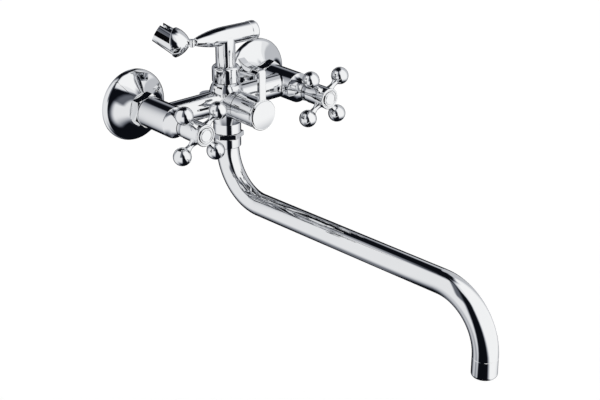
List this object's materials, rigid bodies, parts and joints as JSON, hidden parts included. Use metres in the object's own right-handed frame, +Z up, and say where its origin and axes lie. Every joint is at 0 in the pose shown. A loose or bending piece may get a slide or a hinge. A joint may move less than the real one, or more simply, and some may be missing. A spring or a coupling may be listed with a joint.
{
  "type": "wall mixer",
  "caption": "Wall-mounted mixer with cross handles, a long S-shaped swivel spout, a hook-lever diverter and a swivelling hand-shower holder, in polished chrome.",
  "frame": {"origin": "on the wall plane, midway between the two inlet axes, at their height", "axes": "+X along the wall to the right as seen by the user, -Y out of the wall towards the user, +Z up; +Y points into the wall along the inlet pipes"},
  "size_m": [0.2194, 0.4118, 0.2328],
  "materials": {
    "polished_chrome": "polished mirror",
    "raw_brass": "machined",
    "black_rubber": "matt",
    "ceramic": "lapped",
    "white_plastic": "moulded",
    "steel": "plain"
  },
  "bodies": {
    "base": {"mixer_body": "polished_chrome", "spout_nut": "polished_chrome", "holder_collar": "polished_chrome", "hose_nipple": "raw_brass", "hose_check_valve": "white_plastic", "diverter_housing": "raw_brass", "diverter_fixed_disc": "ceramic", "wall_connector_left": "raw_brass", "wall_rosette_left": "polished_chrome", "union_nut_left": "polished_chrome", "union_gasket_left": "black_rubber", "seat_ring_left": "black_rubber", "fixed_disc_left": "ceramic", "headwork_housing_left": "raw_brass", "bonnet_left": "polished_chrome", "wall_connector_right": "raw_brass", "wall_rosette_right": "polished_chrome", "union_nut_right": "polished_chrome", "union_gasket_right": "black_rubber", "seat_ring_right": "black_rubber", "fixed_disc_right": "ceramic", "headwork_housing_right": "raw_brass", "bonnet_right": "polished_chrome"},
    "handle_left": {"cross_handle_left": "polished_chrome", "headwork_stem_left": "raw_brass", "turning_disc_left": "ceramic", "headwork_seal_left": "black_rubber", "handle_screw_left": "steel", "index_cap_left": "polished_chrome"},
    "handle_right": {"cross_handle_right": "polished_chrome", "headwork_stem_right": "raw_brass", "turning_disc_right": "ceramic", "headwork_seal_right": "black_rubber", "handle_screw_right": "steel", "index_cap_right": "polished_chrome"},
    "diverter": {"diverter_knob": "polished_chrome", "diverter_lever": "polished_chrome", "diverter_cap": "polished_chrome", "diverter_screw": "steel", "diverter_stem": "raw_brass", "diverter_turning_disc": "ceramic", "diverter_seal": "black_rubber"},
    "spout": {"spout_tube": "polished_chrome", "spout_inlet_bush": "white_plastic", "spout_split_ring": "white_plastic", "spout_seal_upper": "black_rubber", "spout_seal_lower": "black_rubber", "spout_outlet_bush": "raw_brass", "aerator_housing": "polished_chrome", "aerator_gasket": "black_rubber", "aerator_insert": "white_plastic"},
    "holder": {"holder_arm": "polished_chrome", "arm_end_cap": "polished_chrome", "holder_seal": "black_rubber", "cup_pivot_screw": "steel", "cup_friction_washer": "white_plastic"},
    "cup": {"holder_cup": "polished_chrome"}
  },
  "joints": [
    {"name": "left_handle_turn", "type": "hinge", "parent": "base", "child": "handle_left", "pos_m": [-0.075, -0.1, 0], "axis": [0, -1, 0], "range_deg": [0, 180]},
    {"name": "right_handle_turn", "type": "hinge", "parent": "base", "child": "handle_right", "pos_m": [0.075, -0.1, 0], "axis": [0, -1, 0], "range_deg": [-180, 0]},
    {"name": "diverter_turn", "type": "hinge", "parent": "base", "child": "diverter", "pos_m": [0, -0.09, -0.0012], "axis": [0, 1, 0], "range_deg": [0, 90]},
    {"name": "spout_swivel", "type": "hinge", "parent": "base", "child": "spout", "pos_m": [0, -0.0488, -0.06], "axis": [0, 0, 1], "range_deg": [-80, 80]},
    {"name": "holder_swivel", "type": "hinge", "parent": "base", "child": "holder", "pos_m": [0, -0.0488, 0.03], "axis": [0, 0, 1], "range_deg": [0, 180]},
    {"name": "cup_swing", "type": "hinge", "parent": "holder", "child": "cup", "pos_m": [-0.03691, -0.04622, 0.0632], "axis": [0, 0, 1], "range_deg": [-25, 95]}
  ]
}
